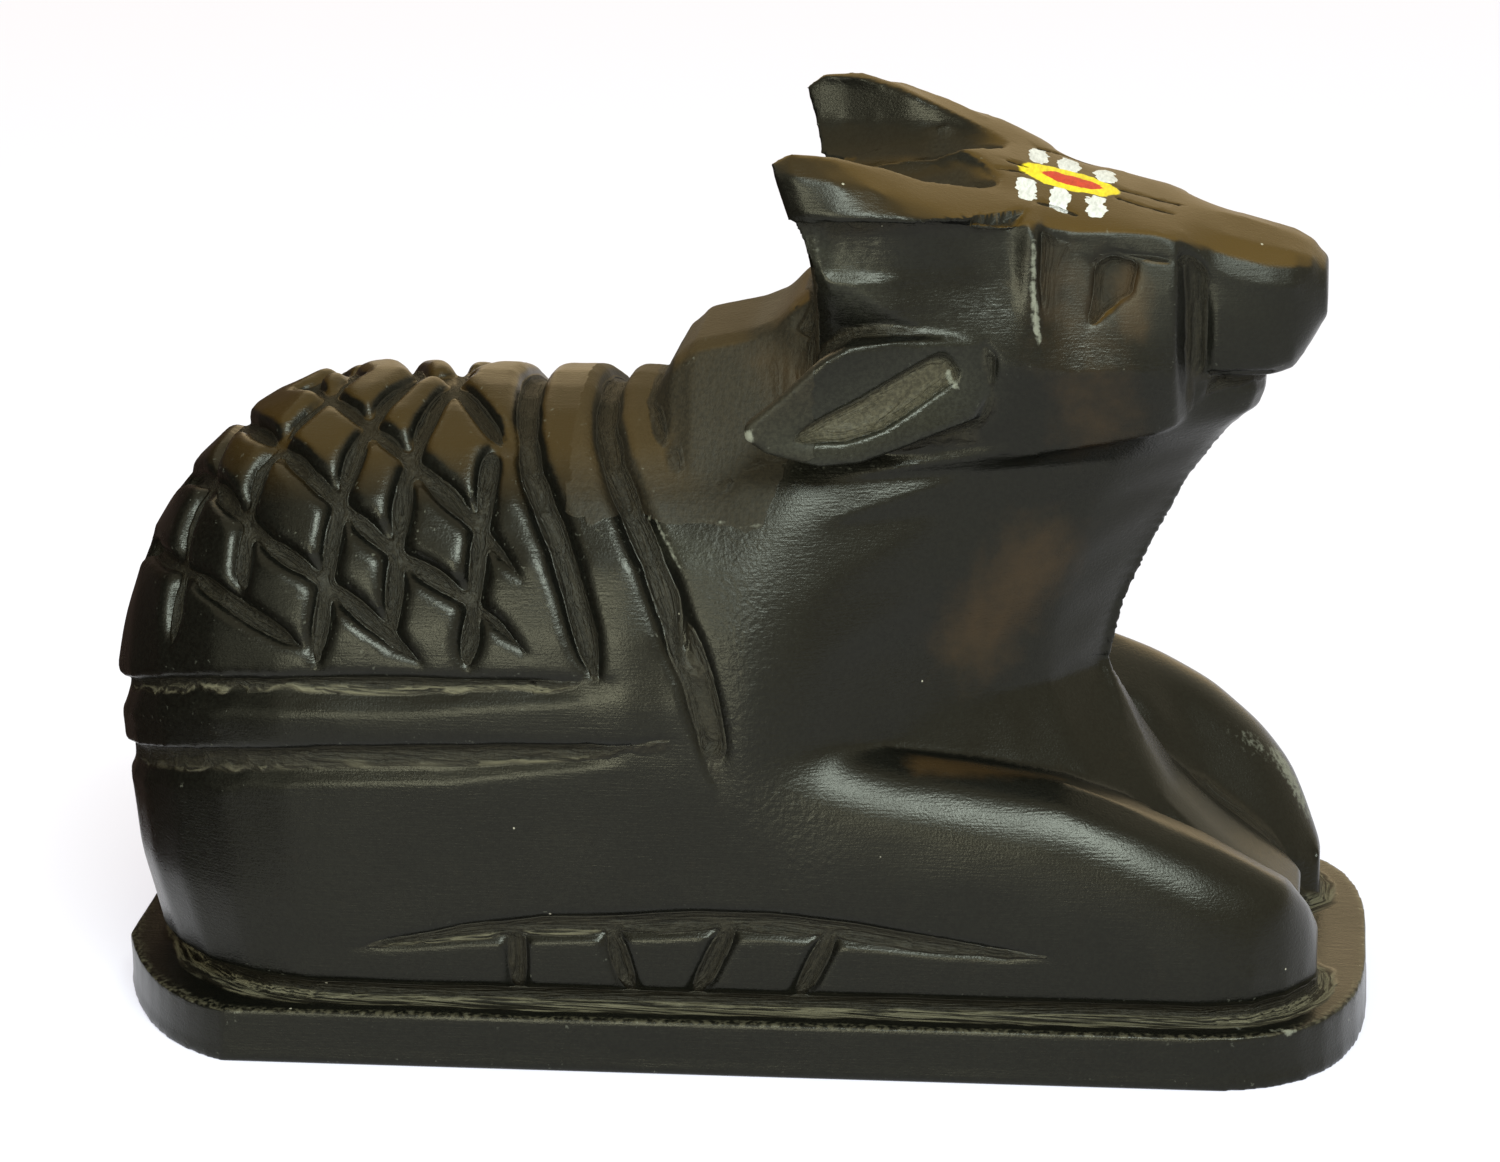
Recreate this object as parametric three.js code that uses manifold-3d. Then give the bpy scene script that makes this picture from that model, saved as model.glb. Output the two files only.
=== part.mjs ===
// A reclining nandi bull on a thin plinth, carved by hand from one block of dark stone.
import * as THREE from 'three';
import { mergeVertices } from 'three/addons/utils/BufferGeometryUtils.js';
import Module from 'manifold-3d';

const wasm = await Module();
wasm.setup();

// Driving sizes, in millimetres. +X is the way the bull faces and +Z is up.
const bull_length = 97;
const bull_width = 39.6;
const bull_height = 68.5;
const plinth_thickness = 4.6;
const side_ledge = 1.7;
const rear_ledge = 0.2;
const front_ledge = 3.9;
const rear_corner_length = 11.2;
const rear_corner_width = 15.4;
const front_corner_length = 13;
const front_corner_width = 18;
const cove_height = 1.9;
const cove_depth = 1.3;
const back_cut_width = 2.2;
const back_cut_depth = 1.1;
const girth_cut_width = 2.8;
const girth_cut_depth = 1.3;
const haunch_cut_width = 3.2;
const haunch_cut_depth = 1.0;
const thigh_cut_width = 2.2;
const thigh_cut_depth = 0.9;
const notch_width = 2.0;
const notch_depth = 0.9;
const ear_recess_depth = 1.1;
const eye_recess_depth = 0.7;

// The bull's own form is drawn in shares of its length, width and height: 97 along it from rump to
// hooves, 39.6 across the flanks and 68.5 from the plinth to the tip of the higher horn.
const rump_end = -50;
const hoof_end = 47;
const flank = 19.8;
const horn_top = 68.5;
const length_share = bull_length / (hoof_end - rump_end);
const width_share = bull_width / (2 * flank);
const height_share = bull_height / horn_top;

// The bull's foot is set back all round above the plinth, as a cove that is upright for the lower
// part of its height. Every form goes a little way down into the plinth.
const cove_upright = 0.55;
const root_depth = 0.6;

// The plinth reaches past the bull by its ledges. Its middle underneath is the origin.
const plinth_rear = rump_end * length_share - rear_ledge;
const plinth_front = hoof_end * length_share + front_ledge;
const plinth_middle = (plinth_rear + plinth_front) / 2;

function place(x, y, z) {
  return new THREE.Vector3(
    x * length_share - plinth_middle,
    y * width_share,
    plinth_thickness + z * height_share,
  );
}

// Closed body through rings of points, with a fan of triangles on its two ends.
function loft(rings) {
  const sides = rings[0].length;
  const positions = [];
  for (const ring of rings) {
    for (const point of ring) positions.push(point.x, point.y, point.z);
  }
  const faces = [];
  for (let row = 0; row < rings.length - 1; row += 1) {
    for (let side = 0; side < sides; side += 1) {
      const next = (side + 1) % sides;
      const a = row * sides + side;
      const b = row * sides + next;
      const c = (row + 1) * sides + next;
      const d = (row + 1) * sides + side;
      faces.push(a, b, c, a, c, d);
    }
  }
  const last_start = (rings.length - 1) * sides;
  for (const [start, ring, turned] of [[0, rings[0], true], [last_start, rings.at(-1), false]]) {
    const middle = new THREE.Vector3();
    for (const point of ring) middle.addScaledVector(point, 1 / sides);
    const hub = positions.length / 3;
    positions.push(middle.x, middle.y, middle.z);
    for (let side = 0; side < sides; side += 1) {
      const here = start + side;
      const next = start + (side + 1) % sides;
      faces.push(...(turned ? [hub, next, here] : [hub, here, next]));
    }
  }
  const geometry = new THREE.BufferGeometry();
  geometry.setAttribute('position', new THREE.Float32BufferAttribute(positions, 3));
  geometry.setIndex(faces);
  return solid(geometry);
}

// Solid for joining and cutting, with its faces pointing out.
function solid(geometry) {
  geometry.deleteAttribute('normal');
  geometry.deleteAttribute('uv');
  const merged = mergeVertices(geometry, 1e-5);
  const corners = merged.attributes.position.array;
  const faces = Uint32Array.from(merged.index.array);
  const [a, b, c] = [new THREE.Vector3(), new THREE.Vector3(), new THREE.Vector3()];
  let volume = 0;
  for (let start = 0; start < faces.length; start += 3) {
    a.fromArray(corners, 3 * faces[start]);
    b.fromArray(corners, 3 * faces[start + 1]);
    c.fromArray(corners, 3 * faces[start + 2]);
    volume += a.dot(b.cross(c)) / 6;
  }
  if (volume < 0) faces.reverse();
  const kept = [];
  for (let start = 0; start < faces.length; start += 3) {
    const corner = faces.slice(start, start + 3);
    if (new Set(corner).size === 3) kept.push(...corner);
  }
  const mesh = new wasm.Mesh({
    numProp: 3,
    vertProperties: Float32Array.from(corners),
    triVerts: Uint32Array.from(kept),
  });
  return new wasm.Manifold(mesh);
}

// Values at x of the straight lines through listed stations [x, value, value, ...].
function along(stations, x) {
  const last = stations.length - 1;
  if (x <= stations[0][0]) return stations[0].slice(1);
  if (x >= stations[last][0]) return stations[last].slice(1);
  let index = 0;
  while (x > stations[index + 1][0]) index += 1;
  const [from, to] = [stations[index], stations[index + 1]];
  const share = (x - from[0]) / (to[0] - from[0]);
  return from.slice(1).map((value, column) => value + share * (to[column + 1] - value));
}

// Full ring from the points of its near half, which start and end on the middle plane.
function mirrored(half) {
  const far = half.slice(1, -1).reverse();
  return [...half, ...far.map(([x, y, z]) => [x, -y, z])].map((point) => place(...point));
}

// The trunk: a barrel with a round arched back over upright flanks, closed by a round rump that is
// squarer in plan than from the side.
const spring_height = 19.4;
const arch_rise = 27;
const arch_roundness = 2.15;
const rump_start = -28.7;
const rump_plan_roundness = 2.6;
const rump_side_roundness = 2;
const rump_undercut = 0.085;
const corner_undercut = 1.6;
const rump_cove = 1.5;
const trunk_front = 4;
const flank_run = 0.3;

function rumpScale(x, roundness) {
  const behind = Math.max(0, (rump_start - x) / (rump_start - rump_end));
  return Math.max(0, 1 - behind ** roundness) ** (1 / roundness);
}

// Point of the back at an angle round it, 0 at the spring of the arch and 90 on its ridge. Below 0
// it runs on down the upright flank.
function backPoint(x, degrees) {
  const angle = THREE.MathUtils.degToRad(Math.max(0, degrees));
  const across = Math.cos(angle);
  const up = Math.sin(angle);
  const reach = (Math.abs(across) ** arch_roundness + up ** arch_roundness) ** (-1 / arch_roundness);
  const side = flank * rumpScale(x, rump_plan_roundness) * reach;
  const rise = arch_rise * rumpScale(x, rump_side_roundness) * reach;
  const below = Math.min(0, degrees) * flank_run;
  return [x, -side * across, spring_height + rise * up + below];
}

// Less than zero inside the trunk and more outside it.
function trunkDepth([x, y, z]) {
  const side = Math.abs(y) / (flank * rumpScale(x, rump_plan_roundness) + 1e-6);
  const above = Math.max(0, z - spring_height)
    / (arch_rise * rumpScale(x, rump_side_roundness) + 1e-6);
  return side ** arch_roundness + above ** arch_roundness - 1;
}

// Outward direction of the trunk's surface at a point on it.
function trunkNormal([x, y, z]) {
  const step = 0.05;
  const slope = new THREE.Vector3(
    trunkDepth([x + step, y, z]) - trunkDepth([x - step, y, z]),
    trunkDepth([x, y + step, z]) - trunkDepth([x, y - step, z]),
    trunkDepth([x, y, z + step]) - trunkDepth([x, y, z - step]),
  );
  slope.divide(new THREE.Vector3(length_share, width_share, height_share));
  return slope.normalize();
}

// Point of the rump or flank at a height and a plan angle, 0 at the tail and 90 where the flank
// starts. Past 90 it runs on forwards along the flank, one share for each degree.
function wallPoint(degrees, z) {
  const forward = Math.max(0, degrees - 90);
  const angle = THREE.MathUtils.degToRad(Math.min(90, degrees));
  const out = [Math.cos(angle) * (rump_start - rump_end), Math.sin(angle) * flank];
  const spot = (reach) => [rump_start - reach * out[0] + forward, -reach * out[1], z];
  let [inside, outside] = [0, 1.5];
  for (let turn = 0; turn < 30; turn += 1) {
    const reach = (inside + outside) / 2;
    if (trunkDepth(spot(reach)) < 0) inside = reach;
    else outside = reach;
  }
  return spot(inside);
}

function trunk() {
  const rump_angles = [7, 16, 27, 38, 50, 63, 77];
  const rump_stations = rump_angles.map((degrees) => {
    const angle = THREE.MathUtils.degToRad(degrees);
    const reach = (Math.cos(angle) ** rump_plan_roundness
      + Math.sin(angle) ** rump_plan_roundness) ** (-1 / rump_plan_roundness);
    return rump_start - (rump_start - rump_end) * reach * Math.cos(angle);
  });
  const stations = [...rump_stations, rump_start, -14, trunk_front];
  const arch_angles = [0, 12, 24, 36, 48, 60, 70, 80];
  const rings = stations.map((x) => {
    const scale = rumpScale(x, rump_plan_roundness);
    const foot = cove_depth / width_share;
    const lip = cove_height / height_share;
    const behind = Math.max(0, (rump_start - x) / (rump_start - rump_end));
    const lean = (z) => {
      const share = (spring_height - z) / spring_height;
      const cove = z < lip ? rump_cove * cove_depth / length_share : 0;
      const undercut = (rump_start - rump_end) * rump_undercut * share ** 2;
      return behind * (undercut * (1 + corner_undercut * scale) + cove);
    };
    const wall = [[-root_depth, foot], [lip * cove_upright, foot], [lip, 0.2], [9, 0]];
    const half = [[x + lean(0), 0, -root_depth]];
    for (const [z, inset] of wall) half.push([x + lean(z), -(flank - inset) * scale, z]);
    for (const degrees of arch_angles) half.push(backPoint(x, degrees));
    half.push(backPoint(x, 90));
    return mirrored(half);
  });
  return loft(rings);
}

// The chest and neck: plan sections stacked upwards, a wedge with its sharp edge in front. Below
// the foot of that edge the wedge runs out forwards as the slope between the forelegs.
function neck() {
  const rear_line = [[36, -5], [44, 1], [47, 3.6], [52, 5.6]];
  const sections = [
    [-root_depth, 12, 8, 12, 24, 10, 45.6, 6],
    [4.6, 14, 8, 14, 24, 11, 45.6, 6],
    [9, 16, 7, 16, 24, 11.5, 40, 5.5],
    [13.3, 18, 6, 17.5, 23, 12, 35.6, 5],
    [18, 19.4, 5, 19, 20, 11.4, 32.6, 3.2],
    [23.2, 19.5, 5, 18.8, 18, 10.6, 30, 0.5],
    [28, 18.9, 5, 18.2, 17, 10.6, 31.2, 0.5],
    [33, 17.5, 5, 17, 17, 11, 33.3, 0.7],
    [38.4, 15.2, 5, 15, 18, 10.4, 36, 1.2],
    [41.7, 13, 6, 13, 20, 10, 38.4, 2],
    [43.5, 10, 7, 11.5, 22, 10.6, 39.8, 2.8],
    [45, 10, 8, 11.2, 23, 10.2, 41.7, 3.2],
    [46.6, 10, 9, 10.8, 24, 9.4, 42.3, 3.5],
    [48.1, 10, 9, 10.4, 24, 8.6, 42.1, 3.4],
    [52, 9.5, 11, 9.5, 22, 7, 34, 3],
  ];
  const rings = sections.map(([z, rear_side, fore, shoulder, mid, mid_side, tip, tip_side]) => {
    const lip = cove_height / height_share;
    const inset = z < lip ? cove_depth / width_share : 0;
    const [rear] = along(rear_line, z);
    const half = [
      [rear, 0, z],
      [rear, -rear_side * 0.8, z],
      [rear + 3, -rear_side * 0.96, z],
      [fore, -shoulder, z],
      [fore + 3, -(shoulder * 0.86 + mid_side * 0.14), z],
      [mid, -mid_side, z],
      [mid + 0.3 * (tip - mid), -(mid_side * 0.78 + tip_side * 0.22), z],
      [mid + 0.62 * (tip - mid), -(mid_side * 0.49 + tip_side * 0.51), z],
      [tip - 0.8, -tip_side, z],
      [tip - inset, -tip_side * 0.5, z],
      [tip - inset, 0, z],
    ];
    return mirrored(half);
  });
  return loft(rings);
}

// The hump behind the neck: a block with a slanting top and two flat sides that flare down onto
// the shoulders.
function hump() {
  const stations = [
    [-5.2, 46.4, 6, 37.5, 13.4],
    [-3.8, 49.4, 6.3, 36.8, 14.6],
    [-2.2, 50.9, 6.4, 36.2, 15.2],
    [2.2, 51.8, 6.5, 36.4, 15.2],
    [4.2, 52.6, 6.6, 38, 14.2],
    [5.6, 54.2, 6.8, 40, 13],
    [10, 57, 7.2, 42, 12],
  ];
  const rings = stations.map(([x, top, top_side, low, low_side]) => mirrored([
    [x, 0, top],
    [x, -top_side * 0.8, top],
    [x, -top_side, top - 0.6],
    [x, -low_side, low],
    [x, -low_side * 0.8, 30],
    [x, 0, 30],
  ]));
  return loft(rings);
}

// The head: cross sections from the horn tips to the nose, as the near side has them. The numbers
// of a section are its place, the lean of its rear, the height of the top in the middle, then the
// offset and height of eight points from the top down, and the height under it. The points are the
// crown, its outer curve, the edge of the brow, the recess under that edge, the side, the lower
// edge of the cheek, the turn under it and the jaw.
const head_sections = [
  [4.7, 3.2, 65, 12, 66.6, 13.2, 65.6, 13.9, 62.8, 13.7, 61.8, 13.6, 60, 13.2, 57.8,
    11.6, 54.5, 10.2, 42.2, 41],
  [6.4, 2.9, 66, 12.4, 67.4, 14, 66, 14.9, 63, 14.3, 61.9, 14.2, 60, 14.2, 57.5,
    12.4, 54, 10.4, 42.2, 41],
  [9.5, 2, 66, 11.9, 67, 14.1, 65.6, 15.4, 63, 14.6, 61.8, 14.2, 59.5, 14.2, 57,
    12.8, 53.5, 10.8, 42.3, 41],
  [12.6, 1.2, 66, 10.6, 65.9, 13.4, 64.9, 15.1, 62.9, 14.2, 61.8, 13.7, 58.8, 13.8, 55.4,
    12.8, 52.6, 11, 42.4, 41],
  [16.2, 0.5, 65.6, 8.8, 64.4, 12, 63.7, 14, 62.5, 13.1, 61.4, 12.7, 58, 13, 53.8,
    12.2, 51.8, 11, 42.6, 41],
  [20.6, 0, 64.6, 6, 63.3, 9.2, 62.7, 11.6, 61.9, 11.3, 60.8, 11.4, 57, 12.2, 52.8,
    12.3, 50.8, 10.2, 42.6, 41.5],
  [23.9, 0, 63.7, 5, 62.8, 7.8, 62.5, 9.9, 61.7, 10.4, 60.4, 10.9, 57, 11.6, 53,
    12, 50.5, 9.9, 42.8, 42],
  [24.9, 0, 63.4, 4.8, 62.6, 7.4, 62.2, 9.3, 61.4, 10.5, 60.3, 10.8, 57, 11.2, 53.6,
    11.8, 50.4, 9.7, 42.9, 42],
  [25.4, 0, 63.2, 4.8, 62.4, 7.2, 61.9, 8.9, 60.9, 8.7, 60, 9.6, 57, 11, 53.2,
    11.7, 50.2, 9.6, 43, 42.2],
  [27.3, 0, 62.7, 4.6, 62, 6.9, 61.3, 8.4, 60.4, 8.3, 59.3, 9, 56.5, 10.1, 52.8,
    11.2, 50, 9.2, 43.2, 42.6],
  [31, 0, 61.7, 4.4, 61.3, 6.7, 61, 8, 60.4, 8.1, 59.2, 8.8, 56, 9.6, 52.6,
    10.4, 50, 8.2, 43.6, 43.2],
  [34, 0, 61, 4.4, 60.8, 6.7, 60.6, 8, 60.2, 8.1, 59.1, 8.9, 56, 9.3, 52.4,
    9.6, 49.6, 7.5, 44.1, 43.8],
  [35.4, 0, 60.8, 4.3, 60.5, 6.5, 60.2, 7.7, 59.8, 8.2, 58.8, 8.9, 56, 9.1, 52,
    9.2, 49.2, 7, 44.6, 44.2],
  [36.4, 0, 60.8, 4.2, 60.3, 6.2, 59.7, 7.2, 59, 6.6, 57.6, 6.6, 55.5, 6.6, 51,
    6.7, 48.8, 5.8, 45.6, 45],
  [37.3, 0, 60.6, 4.1, 60, 6, 59.1, 6.8, 58.2, 6.2, 56.9, 6.1, 54, 6.1, 50.5,
    6.1, 48.8, 5.8, 46.6, 46.4],
  [38.3, 0, 60.3, 4.1, 59.6, 5.9, 58.5, 6.6, 57, 6.5, 56, 6.8, 54, 6.8, 51,
    6.5, 49, 5.4, 48.3, 48.1],
  [40.4, 0, 59.8, 4, 59, 5.7, 57.8, 6.4, 56.1, 6.3, 55.3, 6.5, 53.5, 6.4, 50.6,
    6, 49, 5, 48.2, 48],
  [42.6, 0, 59.1, 3.8, 58.4, 5.4, 57.2, 6.1, 55.7, 5.9, 55, 6, 53, 5.9, 50.4,
    5.4, 49, 4.4, 48.1, 47.9],
  [44.3, 0, 58.6, 3.5, 58, 4.8, 57, 5.4, 55.6, 5.3, 54.8, 5.3, 53, 5.1, 50.8,
    4.6, 49.4, 3.6, 48.5, 48.2],
  [45.7, 0, 57.8, 2.7, 57.4, 3.7, 56.7, 4.1, 55.9, 4.2, 54.9, 4.2, 53.2, 4, 51.8,
    3.4, 50.8, 2.6, 50.3, 50.1],
  [46.9, 0, 56.4, 1.5, 56.3, 2.2, 56, 2.6, 55.5, 2.8, 54.8, 2.8, 54, 2.6, 53,
    2.2, 52.6, 1.6, 52.4, 52.3],
];

// Height that the head's far side gains over the near side, for each share of offset on both.
function farRise(x, y) {
  const [tilt] = along([[4, 0.02], [12, 0.085], [16, 0.11], [20, 0.138], [22, 0.12], [24, 0.1],
    [26, 0.094], [28, 0.085], [31, 0.055], [34, 0.02], [37, 0.01]], x);
  return tilt * (y + Math.abs(y));
}

function head() {
  const tip_height = 66.4;
  const lean_height = 10;
  const lean_roundness = 0.8;
  const rings = head_sections.map((section) => {
    const [x, lean, top, ...rest] = section;
    const under = rest.pop();
    const back = (z) => {
      const share = Math.max(0, Math.min(1, (tip_height - z) / lean_height));
      return x + lean * share ** lean_roundness;
    };
    const half = [[back(top), 0, top]];
    for (let index = 0; index < rest.length; index += 2) {
      half.push([back(rest[index + 1]), -rest[index], rest[index + 1]]);
    }
    half.push([back(under), 0, under]);
    const far = half.slice(1, -1).reverse().map(([a, b, c]) => [a, -b, c]);
    return [...half, ...far].map(([a, b, c]) => place(a, b, c + farRise(a, b)));
  });
  return loft(rings);
}

// Round hollow behind the forehead on one side. The two hollows meet in the middle, and what
// stands outside them is the horns.
function hornHollow(side) {
  const sides = 14;
  const path = [
    [-2, 5, 67.8, 7.6],
    [4, 5, 67.4, 7.2],
    [8, 4.7, 67.1, 6.6],
    [13.5, 4, 66.6, 5.1],
    [16, 3.9, 66.2, 4.7],
    [18.2, 3.7, 65.8, 3.9],
    [20, 3.8, 65.2, 2.8],
    [21.2, 4, 64.6, 1.6],
    [21.9, 4.2, 64.2, 0.5],
  ];
  const rings = path.map(([x, y, z, radius]) => {
    const ring = [];
    for (let step = 0; step < sides; step += 1) {
      const angle = 2 * Math.PI * step / sides;
      const across = side * (y + radius * Math.cos(angle));
      ring.push(place(x, across, z + radius * Math.sin(angle) + farRise(x, side * y)));
    }
    return ring;
  });
  return loft(rings);
}

// The ear, as place along and height: a broad leaf whose root lies in a hollow of the cheek and
// whose tip stands out behind. A long recess with one squared end is cut in it.
const ear_outline = [[2.9, 47.3], [2.9, 46.2], [4.6, 44.9], [8.6, 43.6], [11.8, 43.8],
  [14.9, 44.7], [17.8, 45.7], [20.5, 46.5], [21.9, 49], [21.9, 51.4], [21.2, 52.7],
  [18.9, 53.3], [14.2, 53.7], [10.9, 53.5], [8.8, 52.3], [5.8, 49.6]];
const ear_recess = [[18.4, 52.1], [19.4, 50.8], [19.2, 49.9], [16.4, 48.1], [13.4, 46.4],
  [10.4, 45.6], [7.4, 45.7], [6.2, 46], [8, 47.2], [11.6, 49], [14.9, 50.8], [17.6, 52.2]];

// Offset of the ear's face from the middle of the bull.
function earFace(x) {
  return along([[0, 18.6], [12, 16], [18, 13.6], [22, 11.5]], x)[0];
}

// Outline in the ear's face, moved out by an offset and drawn in towards its middle by a share.
function earRing(outline, side, offset, shrink = 0) {
  const middle = new THREE.Vector2();
  for (const [x, z] of outline) middle.add(new THREE.Vector2(x, z).divideScalar(outline.length));
  return outline.map(([x, z]) => {
    const spot = new THREE.Vector2(x, z).lerp(middle, shrink);
    return place(spot.x, side * offset(spot.x), spot.y);
  });
}

function ear(side) {
  const inner = (x) => along([[0, 14.4], [8, 11], [22, 6]], x)[0];
  return loft([
    earRing(ear_outline, side, inner, 0.2),
    earRing(ear_outline, side, (x) => 0.4 * inner(x) + 0.6 * earFace(x), 0.02),
    earRing(ear_outline, side, (x) => earFace(x) - 0.7),
    earRing(ear_outline, side, earFace, 0.06),
  ]);
}

function earHollow(side) {
  return loft([
    earRing(ear_outline, side, (x) => earFace(x) - 0.1, 0.02),
    earRing(ear_outline, side, (x) => earFace(x) + 3, -0.12),
  ]);
}

function earRecess(side) {
  const depth = ear_recess_depth / width_share;
  return loft([
    earRing(ear_recess, side, (x) => earFace(x) - depth, 0.1),
    earRing(ear_recess, side, (x) => earFace(x) + depth, -0.1),
  ]);
}

// The forelegs lie forward on the plinth. Each has a round top, a steep inner face over the slope
// of the chest and an upright hoof. The near leg is carved lower than the far one.
const near_crest = [[-6, 26], [2, 25], [8, 22], [14, 20.4], [20, 19.5], [27, 18.2], [33, 16],
  [38, 13.8], [42, 11.6], [44.7, 10], [46.2, 7.6], [47, 5]];
const far_crest = [[-6, 26], [2, 25.4], [8, 23.6], [14, 22.8], [20, 22.3], [27, 21.6], [33, 19.7],
  [38, 16.8], [42, 13.4], [44.7, 9.8], [46.2, 6.6], [47, 4.4]];

function foreleg(side, crest) {
  const rings = crest.map(([x, top]) => {
    const [outer, inner] = along([[38, 19.8, 6], [42, 18.9, 6], [44.7, 16.9, 6.2],
      [46.2, 14.6, 6.8], [47, 12.6, 7.6]], x);
    const rise = Math.min(8, top * 0.7);
    const floor = along([[30, 22], [35.6, 12.6], [40, 8.2], [45.6, 3.6], [47, 2]], x)[0];
    const foot = cove_depth / width_share;
    const lip = cove_height / height_share;
    const crest_side = Math.min(14.5, outer - 2.2);
    const inner_edge = Math.min(11.2, crest_side - 2);
    return [
      [x, inner, -root_depth],
      [x, outer - foot, -root_depth],
      [x, outer - foot, lip * cove_upright],
      [x, outer - 0.2, lip],
      [x, outer, top - rise],
      [x, outer - 0.5, top - rise * 0.5],
      [x, (outer + crest_side) / 2 + 0.3, top - rise * 0.15],
      [x, crest_side, top],
      [x, inner_edge, top - 0.7],
      [x, Math.min(inner + 1, inner_edge), Math.min(floor, top - 2)],
    ].map(([a, b, c]) => place(a, side * b, c));
  });
  return loft(rings);
}

// Sections of a gouged cut, as shares of its width across and of its depth outwards. An even cut
// has two like walls. A tall cut is the same cut reaching further out, for where the shoulder
// swells past the trunk. A sloping cut has a steep upper wall and a floor that rises to its lip.
const even_section = [[-0.8, 0.6], [-0.21, -1], [0.21, -1], [0.8, 0.6]];
const tall_section = [[-1.1, 1.4], [-0.21, -1], [0.21, -1], [1.1, 1.4]];
const sloping_section = [[-0.52, 0.6], [-0.42, -1], [0.04, -0.85], [0.86, 0.6]];

// How a cut runs out at an open end: its width there as a share of its full width, and the share
// of its length over which it grows to its full depth.
const pointed_end = { end_width: 0.1, taper: 0.24 };
const blunt_end = { end_width: 0.7, taper: 0.16 };
const long_point = { end_width: 0.04, taper: 0.35 };

// Gouged cut of a width and depth along a route of points with their outward directions. It is
// deepest in the middle and runs out at each open end.
function gouge(route, width, depth, open = [true, true], ending = long_point,
  profile = even_section) {
  const steps = route.length - 1;
  const rings = route.map(({ point, normal }, index) => {
    const before = route[Math.max(0, index - 1)].point;
    const after = route[Math.min(steps, index + 1)].point;
    const forward = after.clone().sub(before).normalize();
    const sideways = forward.clone().cross(normal).normalize();
    const share = index / steps;
    const from_end = Math.min(open[0] ? share : 1, open[1] ? 1 - share : 1);
    const fullness = Math.min(1, 0.04 + Math.sqrt(from_end / ending.taper));
    const breadth = width * Math.max(ending.end_width, fullness);
    const lower_side_first = sideways.z > 0;
    const section = lower_side_first
      ? profile.map(([across, out]) => [-across, out]).reverse() : profile;
    return section.map(([across, out]) => {
      const reach = depth * (out < 0 ? out * fullness : out);
      return point.clone().addScaledVector(sideways, across * breadth)
        .addScaledVector(normal, reach);
    });
  });
  return loft(rings);
}

// Route over the trunk through stations given as place along the bull and angle round its back.
function backRoute(stations, steps, mirror = 1) {
  const curve = new THREE.CatmullRomCurve3(stations.map(([x, angle]) =>
    new THREE.Vector3(x, angle / 4, 0)));
  return curve.getSpacedPoints(steps).map((spot) => {
    const [x, y, z] = backPoint(spot.x, spot.y * 4);
    const grid_point = [x, y * mirror, z];
    return { point: place(...grid_point), normal: trunkNormal(grid_point) };
  });
}

// Route round the rump and flank through stations given as plan angle and height.
function wallRoute(stations, steps, mirror = 1) {
  const curve = new THREE.CatmullRomCurve3(stations.map(([angle, z]) =>
    new THREE.Vector3(angle / 3, z, 0)));
  return curve.getSpacedPoints(steps).map((spot) => {
    const [x, y, z] = wallPoint(spot.x * 3, spot.y);
    const grid_point = [x, y * mirror, z];
    return { point: place(...grid_point), normal: trunkNormal(grid_point) };
  });
}

// Route on the flat of the flank through stations given as place along the bull and height.
function flankRoute(stations, steps, mirror) {
  const curve = new THREE.CatmullRomCurve3(stations.map(([x, z]) => new THREE.Vector3(x, 0, z)));
  const normal = new THREE.Vector3(0, -mirror, 0);
  return curve.getSpacedPoints(steps).map((spot) =>
    ({ point: place(spot.x, -flank * mirror, spot.z), normal }));
}

// Cuts that cross the back's ridge start a little past it, so that those of the two sides meet.
const past_ridge = 93;

// The ornament of the back, as [place along, angle round the back] of each cut's stations on one
// side. The slanting cuts run down and forwards, the cross cuts run down and slightly backwards.
const slanting_cuts = [
  [[-23.5, past_ridge], [-19.6, 73], [-15.6, 56]],
  [[-35, past_ridge], [-31.2, 77], [-25.6, 61], [-19, 45], [-13.6, 31]],
  [[-40.5, past_ridge], [-38, 76], [-32.3, 55], [-24.7, 38], [-18.1, 29], [-12.6, 18]],
  [[-45, 88], [-41.2, 65], [-36.2, 44], [-31.6, 35], [-26.8, 27], [-20.8, 16]],
  [[-47.6, 80], [-44.9, 52], [-40.1, 36], [-36.2, 28], [-30.2, 19]],
];
const cross_cuts = [
  [[-17.6, 64], [-17.9, 43], [-18.7, 16]],
  [[-21.4, past_ridge], [-22.8, 75], [-24.2, 52], [-24.6, 19]],
  [[-24.4, past_ridge], [-27.6, 69], [-29.4, 45], [-30.6, 15]],
  [[-30.2, past_ridge], [-32.1, 77], [-36.5, 57], [-37, 42], [-36.6, 26]],
  [[-40, past_ridge], [-40.9, 70], [-42.5, 50], [-42.9, 22]],
];
const girth_cuts = [
  [[-15.9, past_ridge], [-15.4, 70], [-14.3, 54], [-12.1, 42], [-10.2, 29], [-8.2, 14]],
  [[-9.4, past_ridge], [-8.9, 66], [-7.3, 52], [-5, 40], [-2.6, 27], [-0.5, 15], [1.6, -6]],
];
const haunch_cuts = [
  [[0, 19.6], [30, 22.4], [58, 25], [75, 25.6], [96, 25.9], [114.6, 26.9]],
  [[0, 14.6], [30, 16.6], [58, 18.8], [75, 19.7], [100, 20.5], [118, 22]],
];

// The folded hind leg: one long flat arc low on the flank, given as place along and height, and
// four short notches that run down from it to the foot.
const thigh_cut = [[-31.4, 4.3], [-24.3, 5.3], [-16.7, 6.5], [-8.4, 7], [1.6, 7.6], [9.3, 7.1],
  [19.4, 5.9], [29, 5.2]];
const leg_notches = [
  [[-15.5, 6], [-15.5, 0.4]],
  [[-7.9, 6.5], [-6.3, 0.4]],
  [[1.3, 7], [-1.8, 0.4]],
  [[9.3, 6.8], [6.3, 0.4]],
];

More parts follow.
